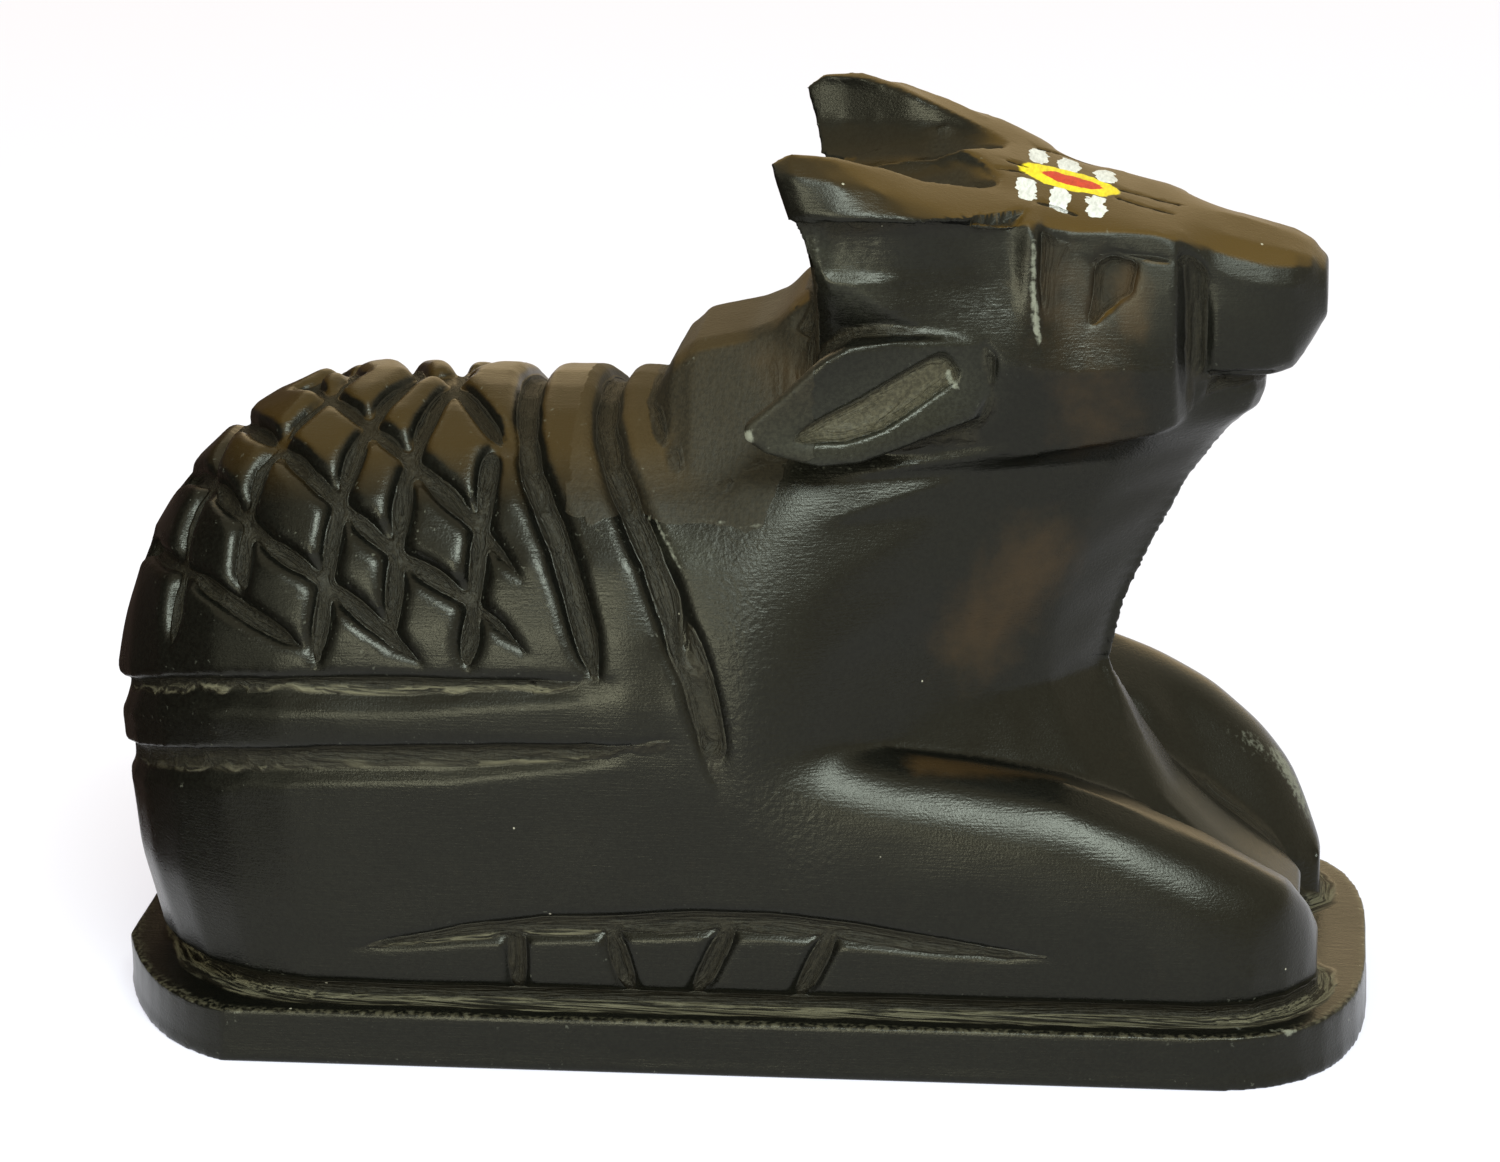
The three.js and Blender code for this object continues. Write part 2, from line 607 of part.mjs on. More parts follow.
function backCarving(side) {
  const ends = [false, true];
  const cuts = [];
  for (const stations of slanting_cuts) {
    cuts.push(gouge(backRoute(stations, 8, side), back_cut_width, back_cut_depth, ends,
      pointed_end));
  }
  for (const stations of cross_cuts) {
    const starts_on_ridge = stations[0][1] > 80;
    const cut_ends = [!starts_on_ridge, true];
    cuts.push(gouge(backRoute(stations, 7, side), back_cut_width, back_cut_depth, cut_ends,
      blunt_end));
  }
  for (const stations of girth_cuts) {
    cuts.push(gouge(backRoute(stations, 9, side), girth_cut_width, girth_cut_depth, ends,
      blunt_end, tall_section));
  }
  for (const stations of haunch_cuts) {
    cuts.push(gouge(wallRoute(stations, 12, side), haunch_cut_width, haunch_cut_depth, ends,
      blunt_end, sloping_section));
  }
  return cuts;
}

function flankCarving(side) {
  const cuts = [gouge(flankRoute(thigh_cut, 10, side), thigh_cut_width, thigh_cut_depth)];
  for (const stations of leg_notches) {
    cuts.push(gouge(flankRoute(stations, 2, side), notch_width, notch_depth, [false, false]));
  }
  return cuts;
}

// The eye: a shallow kite-shaped recess under a straight upper lid.
function eye(side) {
  const depth = eye_recess_depth / width_share;
  const outline = [[28.4, 52.6], [29, 58.2], [30.4, 59], [32.8, 58.4], [32.4, 55.7], [30.5, 54.2]];
  const middle = [30.6, 56.6];
  const surface = (z) => 8.8 + 0.22 * (56 - z);
  const ring = (offset, shrink) => outline.map(([x, z]) => place(
    x + (middle[0] - x) * shrink,
    side * (surface(z) + offset),
    z + (middle[1] - z) * shrink + farRise(x, side * surface(z)),
  ));
  return loft([ring(-depth, 0.22), ring(1.2, 0)]);
}

// The plinth follows the bull with a narrow ledge. Its front corners are rounded and its rear
// corners are taken off nearly straight.
function plinth() {
  const rear = plinth_rear - plinth_middle;
  const front = plinth_front - plinth_middle;
  const side = bull_width / 2 + side_ledge;
  const rear_bend = rear + 0.33 * rear_corner_length;
  const side_bend = side - 0.2 * rear_corner_width;
  const rear_side = side - rear_corner_width;
  const front_side = side - front_corner_width;
  const outline = new THREE.Shape();
  outline.moveTo(rear, -rear_side);
  outline.quadraticCurveTo(rear_bend, -side_bend, rear + rear_corner_length, -side);
  outline.lineTo(front - front_corner_length, -side);
  outline.quadraticCurveTo(front, -side, front, -front_side);
  outline.lineTo(front, front_side);
  outline.quadraticCurveTo(front, side, front - front_corner_length, side);
  outline.lineTo(rear + rear_corner_length, side);
  outline.quadraticCurveTo(rear_bend, side_bend, rear, rear_side);
  return solid(new THREE.ExtrudeGeometry(outline, {
    depth: plinth_thickness,
    bevelEnabled: false,
    curveSegments: 8,
  }));
}

function nandiFigure() {
  const sides = [1, -1];
  let figure = trunk();
  for (const cut of sides.flatMap(backCarving)) figure = figure.subtract(cut);
  figure = figure.add(foreleg(-1, near_crest)).add(foreleg(1, far_crest));
  figure = figure.add(neck()).add(hump());
  for (const cut of sides.flatMap(flankCarving)) figure = figure.subtract(cut);
  let crown = head();
  for (const side of sides) {
    crown = crown.subtract(hornHollow(side)).subtract(eye(side));
  }
  figure = figure.add(crown);
  for (const side of sides) {
    figure = figure.subtract(earHollow(side)).add(ear(side)).subtract(earRecess(side));
  }
  return figure.add(plinth());
}

const mesh_data = nandiFigure().getMesh();
const geometry = new THREE.BufferGeometry();
geometry.setAttribute('position', new THREE.BufferAttribute(mesh_data.vertProperties, 3));
geometry.setIndex(new THREE.BufferAttribute(mesh_data.triVerts, 1));
geometry.computeVertexNormals();

const polished_stone = new THREE.MeshStandardMaterial({
  color: new THREE.Color(0.03, 0.031, 0.027),
  roughness: 0.32,
  metalness: 0,
});

const nandi_figure = new THREE.Mesh(geometry, polished_stone);
nandi_figure.name = 'nandi_figure';

const figure_group = new THREE.Group();
figure_group.add(nandi_figure);

export default figure_group;
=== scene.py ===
# A small reclining nandi bull, carved by hand from one block of near-black stone, with a painted
# mark on its forehead.
import math

import bpy
import numpy as np
from mathutils import Euler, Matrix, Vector


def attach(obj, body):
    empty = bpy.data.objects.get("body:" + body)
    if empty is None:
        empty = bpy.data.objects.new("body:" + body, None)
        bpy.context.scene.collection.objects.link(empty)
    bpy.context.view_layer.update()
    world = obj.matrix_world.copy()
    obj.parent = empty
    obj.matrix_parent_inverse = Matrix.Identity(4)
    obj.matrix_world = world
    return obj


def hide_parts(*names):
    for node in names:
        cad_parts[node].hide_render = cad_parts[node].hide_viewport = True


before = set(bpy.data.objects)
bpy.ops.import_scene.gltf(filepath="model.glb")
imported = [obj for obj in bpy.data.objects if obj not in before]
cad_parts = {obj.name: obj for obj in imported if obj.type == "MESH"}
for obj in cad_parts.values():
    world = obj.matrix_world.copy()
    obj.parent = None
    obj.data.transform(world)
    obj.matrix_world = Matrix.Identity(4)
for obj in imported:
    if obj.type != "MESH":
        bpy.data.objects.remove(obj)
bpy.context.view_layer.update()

# The camera stands where the photograph was taken from: a little ahead of square to the bull's
# right side and 18 degrees up, with a long lens.
photo_turn = math.radians(7.3)
photo_rise = math.radians(18.0)
photo_roll = math.radians(-1.2)
photo_distance = 0.39
photo_lens = 116.52
photo_aim = Vector((0.00075, 0, 0.0339))

camera_turn = (Euler((math.pi / 2 - photo_rise, 0, photo_turn)).to_matrix()
               @ Euler((0, 0, photo_roll)).to_matrix())
camera_place = photo_aim + camera_turn @ Vector((0, 0, photo_distance))
bpy.ops.object.camera_add(location=camera_place, rotation=camera_turn.to_euler())
camera = bpy.context.object
camera.name = "camera"
camera.data.lens = photo_lens
camera.data.sensor_width = 36
camera.data.clip_start = 0.01
camera.data.clip_end = 20
bpy.context.scene.camera = camera

# The bull and its plinth are one block of dense near-black stone. It is sawn and chiselled to
# shape, cut with files, and rubbed down and polished by hand, so its flats are never quite flat
# and its edges are soft.
mm = 0.001
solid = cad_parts["nandi_figure"]
bpy.ops.object.select_all(action="DESELECT")
bull = solid.copy()
bull.data = solid.data.copy()
bull.name = "nandi_bull"
bull.parent = None
for key in list(bull.keys()):
    del bull[key]
bpy.context.scene.collection.objects.link(bull)
bpy.context.view_layer.objects.active = bull
bull.select_set(True)


def finished(modifier):
    bpy.ops.object.modifier_apply(modifier=modifier.name)


bpy.ops.object.mode_set(mode="EDIT")
bpy.ops.mesh.select_all(action="SELECT")
bpy.ops.mesh.remove_doubles(threshold=1e-6)
bpy.ops.object.mode_set(mode="OBJECT")

grain_size = 0.28 * mm
stone = bull.modifiers.new("stone", "REMESH")
stone.mode = "VOXEL"
stone.voxel_size = grain_size
stone.use_smooth_shade = True
finished(stone)


def polish(name, passes, strength=0.5, group=None):
    """Rubs the surface down, everywhere or only where the named group of points says."""
    rub = bull.modifiers.new(name, "SMOOTH")
    rub.factor = strength
    rub.iterations = passes
    if group:
        rub.vertex_group = group
    finished(rub)


def stone_points():
    """Places, outward directions and neighbour pairs of the stone's points."""
    mesh = bull.data
    places = np.empty(len(mesh.vertices) * 3)
    mesh.vertices.foreach_get("co", places)
    outward = np.empty(len(mesh.vertices) * 3, np.float32)
    mesh.vertex_normals.foreach_get("vector", outward)
    pairs = np.empty(len(mesh.edges) * 2, np.int32)
    mesh.edges.foreach_get("vertices", pairs)
    return places.reshape(-1, 3), outward.reshape(-1, 3), pairs.reshape(-1, 2)


def sharpness():
    """Degrees that the surface turns across each point's neighbours."""
    places, outward, pairs = stone_points()
    turn = (outward[pairs[:, 0]] * outward[pairs[:, 1]]).sum(1).clip(-1, 1)
    turn = np.degrees(np.arccos(turn))
    most = np.zeros(len(places))
    for side in (0, 1):
        np.maximum.at(most, pairs[:, side], turn)
    return most


def spread(values, pairs, passes):
    """Most of each point's value and its neighbours' values, taken a few times over."""
    for _ in range(passes):
        wider = values.copy()
        np.maximum.at(wider, pairs[:, 0], values[pairs[:, 1]])
        np.maximum.at(wider, pairs[:, 1], values[pairs[:, 0]])
        values = wider
    return values


def averaged(values, pairs, passes):
    """Each point's value blended with the mean of its neighbours, taken a few times over."""
    count = np.bincount(pairs.ravel(), minlength=len(values)).clip(1)
    for _ in range(passes):
        total = (np.bincount(pairs[:, 0], values[pairs[:, 1]], len(values))
                 + np.bincount(pairs[:, 1], values[pairs[:, 0]], len(values)))
        values = (values + total / count) / 2
    return values


def mark(name, weights):
    """Makes a group of points with a weight for each, in steps of a twentieth."""
    group = bull.vertex_groups.new(name=name)
    steps = 20
    weights = np.round(weights.clip(0, 1) * steps).astype(int)
    for step in range(1, steps + 1):
        chosen = np.nonzero(weights == step)[0]
        if len(chosen):
            group.add(chosen.tolist(), step / steps, "REPLACE")


def keep(name, values):
    """Lays a value for each point on the stone, for its finish to read."""
    layer = bull.data.attributes.new(name, "FLOAT", "POINT")
    layer.data.foreach_set("value", np.ascontiguousarray(values, np.float32))


def smoothstep(low, high, values):
    share = ((values - low) / (high - low)).clip(0, 1)
    return share * share * (3 - 2 * share)


def along(places, route, reach):
    """1 on the line through a route's stations in mm, and fading to 0 at that reach from it."""
    stations = np.array(route, float)
    places = places[:, :stations.shape[1]]
    nearest = np.full(len(places), np.inf)
    for start, end in zip(stations[:-1], stations[1:]):
        run = end - start
        share = ((places - start) @ run / (run @ run)).clip(0, 1)
        away = np.linalg.norm(places - start - share[:, None] * run, axis=1)
        nearest = np.minimum(nearest, away)
    return 1 - smoothstep(0, reach, nearest)


def places_in_mm():
    """The points' places in mm: as they are, and folded onto the near side, where y is below 0."""
    places = stone_points()[0] / mm
    return places, places * (1, 0, 1) - np.abs(places) * (0, 1, 0)


def softened(passes):
    """Places of the points after that many passes of rubbing, with the stone left as it is."""
    bull.select_set(False)
    soft = bull.copy()
    soft.data = bull.data.copy()
    bpy.context.scene.collection.objects.link(soft)
    bpy.context.view_layer.objects.active = soft
    rub = soft.modifiers.new("rub", "SMOOTH")
    rub.factor = 0.5
    rub.iterations = passes
    finished(rub)
    places = np.empty(len(soft.data.vertices) * 3)
    soft.data.vertices.foreach_get("co", places)
    bpy.data.meshes.remove(soft.data)
    bpy.context.view_layer.objects.active = bull
    bull.select_set(True)
    return places.reshape(-1, 3)


def sunk_depth(passes):
    """Millimetres that each point lies below the stone round about it."""
    places, outward, _ = stone_points()
    return ((softened(passes) - places) * outward).sum(1) / mm


crisp_turn = 8
polish("first_rub", 3)
pairs = stone_points()[2]
crisp = spread((sharpness() > crisp_turn).astype(float), pairs, 1)
mark("flats", 1 - crisp)
polish("rub_flats", 80, group="flats")
polish("rub_all", 2)

# The shoulder runs softly into the neck, the crest of each foreleg is broad and round, and the far
# foreleg is rubbed rounder than the near one.
shoulder_line = [(4, -13, 44), (4, -17, 38), (4.1, -18.3, 32), (4.1, -19, 26), (5.2, -19.5, 22)]
crest_line = [(4, -19.2, 24.5), (9, -18.6, 23.6), (14, -18.2, 22.6), (20, -18.8, 20.8),
              (27, -19, 18.8), (36, -18.3, 16.2), (44.5, -15, 12)]
crease_line = [(16, -15.9, 24), (27, -11.3, 22), (35.5, -13.8, 19.2), (42, -12.8, 15.5)]
shoulder_reach, crest_reach, crease_reach = 3.6, 4.6, 2.2
places, folded = places_in_mm()
x, y, z = places.T
far_leg = (smoothstep(28, 32, x) * smoothstep(2, 5, y) * smoothstep(8, 11, z)
           * smoothstep(28, 25, z))
mark("soft_run", np.maximum.reduce([along(folded, shoulder_line, shoulder_reach),
                                    along(folded, crest_line, crest_reach),
                                    along(folded, crease_line, crease_reach) * 0.5, far_leg]))
polish("rub_soft_run", 260, group="soft_run")

# The pads between the cuts on the back are domed, and so are the folds between the girth cuts.
x, _, z = places_in_mm()[0].T
proud = smoothstep(0.03, 0.16, -sunk_depth(40))
on_back = smoothstep(2, -2, x) * smoothstep(26, 32, z)
mark("pads", proud * (0.25 + 0.75 * on_back) * smoothstep(5.5, 8, z))
polish("rub_pads", 16, group="pads")


def wear(name, weights, depth, texture=None):
    """Takes the stone down by up to a depth where the weights say, evenly or by a texture."""
    mark(name, weights)
    cut = bull.modifiers.new(name, "DISPLACE")
    cut.vertex_group = name
    if texture:
        cut.strength = depth
        cut.mid_level = 1
        cut.texture = texture
        cut.texture_coords = "LOCAL"
    else:
        cut.strength = -depth
        cut.mid_level = 0
    finished(cut)


def stone_noise(name, lump, depth=1):
    noise = bpy.data.textures.new(name, "CLOUDS")
    noise.noise_scale = lump
    noise.noise_depth = depth
    return noise


# The temple leans back under the brow, and the root of the horn leans with it. Their places are
# read before the domes rise.
dome_rise = 0.42 * mm
temple_lean = 0.9 * mm
head_side = -8
places, folded = places_in_mm()
x, _, z = places.T
fx, fy, fz = folded.T
pairs = stone_points()[2]
open_ground = averaged(1 - smoothstep(0.04, 0.2, sunk_depth(60)), pairs, 90)
on_back = smoothstep(-3, -7, x) * smoothstep(24, 28, z)
wear("domes", smoothstep(0.55, 0.97, open_ground) * on_back, -dome_rise)

temple = (smoothstep(5, 7, fx) * smoothstep(24, 22.5, fx) * smoothstep(56.5, 66, fz)
          * (fz < 66.8) * (fy < head_side))
wear("temple", temple, temple_lean)
horn_root = (smoothstep(7.5, 9.5, fx) * smoothstep(16, 11, fx)
             * smoothstep(62, 63.2, fz) * smoothstep(67.2, 66.4, fz))
horn_root = horn_root * (0.35 + 0.65 * smoothstep(62, 67, fz)) * (fy < head_side)
wear("horn_root", horn_root, temple_lean)

# Nothing that the hand has rubbed is quite flat, but the underside is sawn and stays true.
unevenness = 0.2 * mm
uneven_lump = 9 * mm
height_above_base = places_in_mm()[0][:, 2]
wear("uneven", smoothstep(0.2, 1.5, height_above_base), unevenness,
     stone_noise("hand_unevenness", uneven_lump))

# Fine cuts made last: lines on the brow, strokes on the temple, the eyelid and the mouth, and the
# chatter of the file down the front of the neck.
brow_lines = [[(30.3, -1.9), (32, -2.5), (34.4, -2.9)], [(30.4, 0.3), (32.5, 0.2), (34.9, -0.2)],
              [(20.9, -1.9), (22.9, -1.4)], [(21.7, -0.1), (23.1, -0.2)],
              [(23.7, 5.4), (25.4, 6.1), (27.6, 6.1)],
              [(24.4, -6.2), (25.8, -5.9), (27.2, -6.3)]]
temple_strokes = [[(17.9, -12.7, 66.2), (17.9, -12.9, 64.7)],
                  [(19.3, -11.9, 65.9), (19.3, -12.3, 63.7)],
                  [(20.5, -11.4, 65.9), (20.5, -11.9, 63.3)],
                  [(21.1, -11.3, 66.1), (21.1, -11.8, 63.6)],
                  [(21.9, -11, 65.7), (21.9, -11.5, 63.2)],
                  [(22.6, -10.6, 66), (22.6, -11.2, 63.8)]]
lid_line = [(28.7, -8.5, 62.6), (29.3, -8.3, 63.2), (30.3, -8.2, 63.4), (31.5, -8.2, 63.2),
            (34.1, -8.3, 62.9), (35.5, -7.4, 62.6)]
mouth_line = [(37.8, -6, 53.3), (39.9, -5.6, 53.3), (42.3, -4.8, 53.1)]
brow_underside = 61
fine_cut_depth = 0.26 * mm
places, folded = places_in_mm()
_, y, z = places.T
cuts = np.zeros(len(places))
for line in brow_lines:
    cuts = np.maximum(cuts, along(places, line, 0.34) * (z > brow_underside))
for line in temple_strokes:
    cuts = np.maximum(cuts, along(folded, line, 0.55) * 0.55)
for line in (lid_line, mouth_line):
    cuts = np.maximum(cuts, along(folded, line, 0.42))
wear("fine_cuts", cuts, fine_cut_depth)

neck_edge = [(40.9, 0, 48.5), (39.9, 0, 47), (37.8, 0, 43.8), (35.2, 0, 40), (32.7, 0, 35.6),
             (30.6, 0, 31.3), (28.8, 0, 27)]
neck_edge_reach = 3.4
tooth_pitch = 0.78
tooth_slant = 0.25
tooth_depth = 0.14 * mm
unevenly = 0.22 * np.sin(1.9 * z) + 0.16 * np.sin(4.7 * z + 0.8 * y)
teeth = 0.5 + 0.5 * np.cos(2 * math.pi * (z + tooth_slant * y + unevenly) / tooth_pitch)
wear("chatter", along(places, neck_edge, neck_edge_reach) * teeth * smoothstep(49, 47, z),
     tooth_depth)

# The chest, neck and forelegs have no file cuts, and the temple only shallow ones.
places, folded = places_in_mm()
outward = stone_points()[1]
fx, fy, fz = folded.T
uncut = smoothstep(4.5, 6.5, fx) * smoothstep(15, 17, fz) * smoothstep(49.5, 47.5, fz)
temple = smoothstep(56, 58, fz) * smoothstep(25, 23, fx) * (fy < head_side)
sunk = sunk_depth(110) * (1 - uncut) * (1 - 0.75 * temple)
keep("sunk", sunk)

# The hump and the sides behind the ears were left from the file, above a stepped edge.
filed_edge = np.interp(fx, [-6, -3.4, -1.4, 2.2, 3.8, 4.8, 6], [43.6, 43, 43.4, 42.7, 43.1, 46, 49])
left_rough = (smoothstep(-0.3, 0.3, fz - filed_edge) * smoothstep(-12.5, -11, fx)
              * smoothstep(8.5, 7.5, fx))
keep("filed", left_rough * (fz < 62))

# Chalky bruises lie where the stone was knocked, and one broad patch on the hollow of the temple
# is a painted highlight: each runs from one place to another, with its reach in mm and its
# strength.
bruises_and_temple_highlight = [((24.4, -10.5, 64.9), (24.3, -10.9, 61.1), 0.8, 0.85),
           ((24.3, -10.9, 61.1), (24.7, -11.3, 57.3), 0.8, 0.85),
           ((17.8, -12.3, 54.9), (18.6, -12.8, 53.6), 0.7, 0.8),
           ((3.1, -17.8, 51.2), (1.8, -12, 48.6), 1.2, 0.9),
           ((4.8, -12.3, 47), (12.5, -11.7, 47.2), 0.8, 0.5),
           ((-5.2, -13.7, 43.4), (3.8, -14.8, 43), 0.6, 0.8),
           ((3.8, -14.8, 43.1), (4.8, -14, 46), 0.5, 0.8),
           ((43.2, 12.5, 15.5), (46, 11.5, 11.5), 3, 0.75),
           ((36, 8, 22), (42, 11, 17), 3, 0.6),
           ((45.3, -15.9, 7.8), (48, -15.8, 4.6), 0.8, 0.5),
           ((40, -19.3, 4.4), (45, -19.3, 4.3), 0.9, 0.7),
           # A painted highlight on the hollow of the temple, laid on as a broad pale patch.
           ((7.4, -13.6, 65.4), (9.5, -14.2, 62.8), 2.6, 0.5),
           ((-2.5, -16.4, 40), (-4.7, -14.2, 43.3), 0.5, 0.6)]
bruised_and_highlit = np.zeros(len(places))
for start, end, reach, strength in bruises_and_temple_highlight:
    bruised_and_highlit = np.maximum(bruised_and_highlit, along(places, [start, end], reach) * strength)
keep("bruised_and_highlit", bruised_and_highlit)

# Warm brown patches lie on the neck, the cheek, the hump, the forelegs' creases and in the eyes,
# with random brown veining mixed in below. Those on the neck and in the eyes are a painted warm
# reflection, and those in the forelegs' creases are painted light that lifts the shade there.
vein_and_warm_light_patches = [([(20.5, -10, 33), (24.5, -8, 38)], 7, 0.8),
         ([(26.5, -9, 61), (29.5, -9.5, 50)], 6.5, 0.5),
         ([(3.5, -8, 54.5), (6.5, -9, 53)], 4, 0.6),
         ([(16, -15.5, 24.4), (26, -12.6, 23)], 2.4, 1),
         ([(31.5, -8.3, 61), (31.8, -8.5, 58)], 2.6, 1)]
keep("veins_and_warm_light", np.maximum.reduce([along(folded, route, reach) * strength
                                  for route, reach, strength in vein_and_warm_light_patches]))

# Painted highlights: the ears' outer faces, the hollow of the temple and the shoulder under the
# filed edge are painted paler where the polish would catch the light.
sideways = outward[:, 1] * np.sign(places[:, 1])
ear_face_highlight = (along(folded, [(3.4, -16.5, 48.6), (9, -14.5, 51), (17.5, -12.8, 54)], 6.5)
            * smoothstep(0.35, 0.6, sideways))
temple_highlight = along(folded, [(7.6, -13.6, 65), (11, -14, 61.6)], 3.4) * 0.8
shoulder_highlight = along(folded, [(-3.8, -15.5, 42), (-0.8, -16, 41)], 2.4) * 0.8
keep("pale", np.maximum.reduce([ear_face_highlight, temple_highlight, shoulder_highlight]))
ear_hollow = along(folded, [(6.2, -15.3, 49.5), (12, -13.9, 52), (16.9, -12.9, 54.3)], 2.6)
keep("recessed", smoothstep(0.05, 0.4, ear_hollow) * smoothstep(0.02, 0.12, sunk) * (fy < -11))

# The shoulder is stippled. The tops of the head, back and hump carry a painted warm reflection,
# brown where they face up.
keep("stippled", along(folded, [(1.5, -16, 44), (2.5, -19, 36), (3.5, -20, 26), (7, -20, 18)], 5))
head_top = smoothstep(56, 59, fz) * np.maximum(smoothstep(62, 64, fz), smoothstep(-11, -9.5, fy))
horn_hollow = smoothstep(0.25, 0.5, -sideways) * smoothstep(21, 18, fx) * smoothstep(62, 63, fz)
horn_flank = smoothstep(0.3, 0.6, sideways) * smoothstep(20, 16, fx) * smoothstep(62, 63, fz)
head_top = head_top * (1 - 0.9 * horn_hollow) * (1 - 0.7 * horn_flank)
pad_tops = smoothstep(43.5, 48.5, fz) * smoothstep(0, -4, fx)
hump_top = smoothstep(47.5, 53, fz) * smoothstep(3, 1, fx)
keep("painted_warm_reflection", np.maximum.reduce([head_top, 0.5 * pad_tops, 0.4 * hump_top]))

# Painted glints: on the ledges round the plinth and the haunch, the file's lines that face up, and
# the plinth's top edge, are painted pale where they would catch the light.
plinth_ledge = smoothstep(9, 8, fz)
haunch_ledge = smoothstep(32, 31, fz) * smoothstep(-8, -10, fx)
keep("painted_glint", np.maximum(plinth_ledge, haunch_ledge))

bull.vertex_groups.clear()
triangle_limit = 196000
triangles = sum(len(face.vertices) - 2 for face in bull.data.polygons)
if triangles > triangle_limit:
    thinning = bull.modifiers.new("thinning", "DECIMATE")
    thinning.ratio = triangle_limit / triangles
    finished(thinning)

# The stone's finish: a hand polish on the open ground, matte filed facets and cuts with the
# file's lines in them, and the marks that its points carry, among them painted highlights, painted
# glints and a painted warm reflection.
stone_finish = bpy.data.materials.new("black_stone")
stone_finish.use_nodes = True
tree = stone_finish.node_tree
shader = tree.nodes["Principled BSDF"]


def add(tree, kind, inputs=None, **settings):
    """A shader node with its settings, whose inputs take values or other nodes' outputs."""
    node = tree.nodes.new("ShaderNode" + kind)
    for name, value in settings.items():
        setattr(node, name, value)
    for socket, value in (inputs or {}).items():
        if isinstance(value, bpy.types.NodeSocket):
            tree.links.new(value, node.inputs[socket])
        else:
            node.inputs[socket].default_value = value
    return node


def math_node(tree, operation, *values, clamp=False):
    node = add(tree, "Math", dict(enumerate(values)), operation=operation, use_clamp=clamp)
    return node.outputs[0]


def place_node(tree, operation, first, second):
    node = add(tree, "VectorMath", {0: first, 1: second}, operation=operation)
    return node.outputs[0]


def scaled(tree, color, factor):
    return add(tree, "VectorMath", {0: color, "Scale": factor}, operation="SCALE").outputs[0]


def ramp(tree, value, low, high, bottom=0.0, top=1.0):
    """A value that rises smoothly from bottom to top as another goes from low to high."""
    node = add(tree, "MapRange", {"Value": value, "From Min": low, "From Max": high,
                                  "To Min": bottom, "To Max": top}, interpolation_type="SMOOTHSTEP")
    return node.outputs["Result"]


def blend(tree, share, first, second):
    """The first colour where the share is 0, and the second where it is 1."""
    node = add(tree, "Mix", data_type="RGBA")
    for socket, value in ((node.inputs[0], share), (node.inputs[6], first),
                          (node.inputs[7], second)):
        if isinstance(value, bpy.types.NodeSocket):
            tree.links.new(value, socket)
        else:
            socket.default_value = value
    return node.outputs[2]


def grain(tree, place, size, detail=2, stretch=(1, 1, 1)):
    """Noise with lumps of that size in metres, drawn out along an axis by a stretch above 1."""
    drawn = add(tree, "Mapping", {"Vector": place, "Scale": [1 / s for s in stretch]})
    return add(tree, "TexNoise", {"Vector": drawn.outputs[0], "Scale": 1 / size, "Detail": detail,
                                  "Roughness": 0.55}).outputs[0]


def attribute(tree, name):
    return add(tree, "Attribute", attribute_name=name).outputs["Fac"]


coordinates = add(tree, "TexCoord")
place = coordinates.outputs["Object"]
facing = coordinates.outputs["Normal"]
upward = add(tree, "SeparateXYZ", {0: facing}).outputs["Z"]
stone_height = add(tree, "SeparateXYZ", {0: place}).outputs["Z"]
sunk_value = attribute(tree, "sunk")
filed_value = attribute(tree, "filed")
hollow = ramp(tree, sunk_value, 0.03, 0.13)
ridge = ramp(tree, sunk_value, -0.06, -0.2)
fleck_size, wear_size, patch_size, mottle_size = 0.5 * mm, 1.6 * mm, 9 * mm, 0.3 * mm
fine = grain(tree, place, fleck_size, 3)
worn = grain(tree, place, wear_size, 4)
patch = grain(tree, place, patch_size, 3)
ragged = math_node(tree, "MULTIPLY", math_node(tree, "SUBTRACT", worn, 0.5), 0.8)
filed = ramp(tree, math_node(tree, "ADD", filed_value, ragged), 0.45, 0.6)
matte = math_node(tree, "MAXIMUM", hollow, filed)

# The file leaves fine lines that run along each cut, where the stone doesn't turn.
lines_per_turn = (5, 5, 5)
lines_per_metre = (330, 330, 330)
lines_per_sunk_mm = 10.0
turned = place_node(tree, "MULTIPLY", facing, lines_per_turn)
slid = place_node(tree, "MULTIPLY", place, lines_per_metre)
level = math_node(tree, "MULTIPLY", sunk_value, lines_per_sunk_mm)
lift = add(tree, "CombineXYZ", {"X": level, "Y": level}).outputs[0]
filed_place = place_node(tree, "ADD", place_node(tree, "ADD", turned, slid), lift)
file_lines = add(tree, "TexNoise", {"Vector": filed_place, "Scale": 1.0, "Detail": 3}).outputs[0]

polished_color = (0.0022, 0.0023, 0.0017, 1)
matte_color = (0.008, 0.0061, 0.0033, 1)
hollow_color = (0.0056, 0.0047, 0.0028, 1)
warm_reflection_color = (0.045, 0.025, 0.0042, 1)
vein_and_warm_light_color = (0.027, 0.0155, 0.0058, 1)
painted_highlight_color = (0.0106, 0.011, 0.0076, 1)
recess_color = (0.034, 0.03, 0.018, 1)
glint_color = (0.075, 0.069, 0.044, 1)
bruise_and_highlight_color = (0.16, 0.165, 0.13, 1)
dust_color = (0.4, 0.38, 0.3, 1)
base = blend(tree, matte, polished_color, matte_color)
cut_stone = math_node(tree, "MULTIPLY", hollow, ramp(tree, filed_value, 0, 1, 1, 0.2))
base = blend(tree, cut_stone, base, hollow_color)
scored = math_node(tree, "MULTIPLY", math_node(tree, "SUBTRACT", file_lines, 0.5), hollow)
base = scaled(tree, base, math_node(tree, "MULTIPLY_ADD", scored, 2.8, 1.0))
